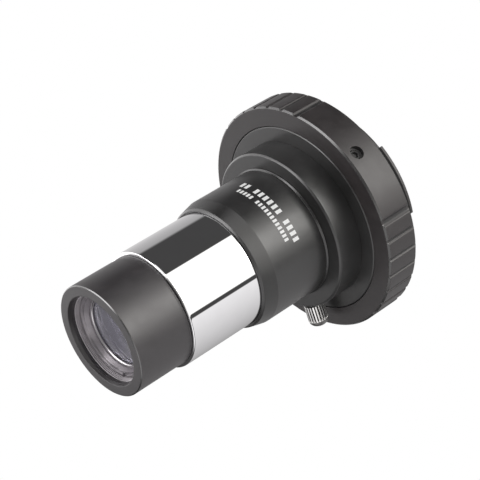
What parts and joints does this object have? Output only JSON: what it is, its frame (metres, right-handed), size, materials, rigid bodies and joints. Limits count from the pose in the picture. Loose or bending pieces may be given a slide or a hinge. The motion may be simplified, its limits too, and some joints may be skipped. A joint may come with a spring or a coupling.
{
  "type": "barlow lens",
  "caption": "Amplifying lens tube for a telescope: black lens cell, chrome nose barrel, black body with an eyepiece thumbscrew, and a camera T-ring with a bayonet at the rear.",
  "frame": {"origin": "centre of the bayonet's rear face, the lowest face when the part stands on its camera end", "axes": "+Z along the optical axis from the camera side to the lens cell; -X along the thumbscrew; -Y towards the side with the printed bars"},
  "size_m": [0.0632, 0.0632, 0.0834],
  "materials": {
    "black_anodised": "semi-gloss black anodised",
    "matte_black": "matte black anodised",
    "chrome": "mirror chrome plate",
    "nickel": "bright nickel plate",
    "brass": "plain turned brass",
    "black_steel": "black oxide steel",
    "nylon": "plain nylon",
    "red_paint": "gloss red enamel",
    "white_ink": "printed white ink",
    "coated_glass": "polished, multicoated"
  },
  "bodies": {
    "barrel_body": {"nose_barrel": "chrome", "body_tube": "black_anodised", "eyepiece_holder": "black_anodised", "compression_ring": "brass"},
    "lens_group": {"front_lens_element": "coated_glass", "element_spacer": "matte_black", "rear_lens_element": "coated_glass"},
    "cell": {"lens_cell": "black_anodised", "lens_retaining_ring": "matte_black"},
    "clamp_pad": {"thumbscrew_pad": "nylon"},
    "clamp_screw": {"thumbscrew": "nickel"},
    "insert": {"t_ring_insert": "black_anodised"},
    "t_ring": {"t_ring_body": "black_anodised", "bayonet_mount": "black_anodised", "mount_screw_1": "nickel", "mount_screw_2": "nickel", "mount_screw_3": "nickel", "index_dot": "red_paint"},
    "set_1": {"set_screw_1": "black_steel"},
    "set_2": {"set_screw_2": "black_steel"},
    "set_3": {"set_screw_3": "black_steel"}
  },
  "joints": [
    {"name": "lens_cell_lift", "type": "slide", "parent": "barrel_body", "child": "lens_group", "axis": [0, 0, 1], "range_m": [0, 0.003]},
    {"name": "lens_cell_turn", "type": "hinge", "parent": "lens_group", "child": "cell", "pos_m": [0, 0, 0.0754], "axis": [0, 0, 1], "range_deg": [0, 1800]},
    {"name": "thumbscrew_travel", "type": "slide", "parent": "barrel_body", "child": "clamp_pad", "axis": [-1, 0, 0], "range_m": [0, 0.0035]},
    {"name": "thumbscrew_turn", "type": "hinge", "parent": "clamp_pad", "child": "clamp_screw", "pos_m": [-0.0259, 0, 0.0197], "axis": [-1, 0, 0], "range_deg": [0, 1800]},
    {"name": "t_ring_travel", "type": "slide", "parent": "barrel_body", "child": "insert", "axis": [0, 0, -1], "range_m": [0, 0.004]},
    {"name": "t_ring_swivel", "type": "hinge", "parent": "insert", "child": "t_ring", "pos_m": [0, 0, 0.0105], "axis": [0, 0, 1], "continuous": true},
    {"name": "set_screw_1_travel", "type": "slide", "parent": "t_ring", "child": "set_1", "axis": [0.5807, -0.8141, 0], "range_m": [0, 0.0012]},
    {"name": "set_screw_2_travel", "type": "slide", "parent": "t_ring", "child": "set_2", "axis": [0.4147, 0.91, 0], "range_m": [0, 0.0012]},
    {"name": "set_screw_3_travel", "type": "slide", "parent": "t_ring", "child": "set_3", "axis": [-0.9954, -0.0958, 0], "range_m": [0, 0.0012]}
  ],
  "couplings": [
    {"joint": "lens_cell_turn", "follows": "lens_cell_lift", "rad_per_m": 10472},
    {"joint": "thumbscrew_turn", "follows": "thumbscrew_travel", "rad_per_m": 8975.9}
  ]
}
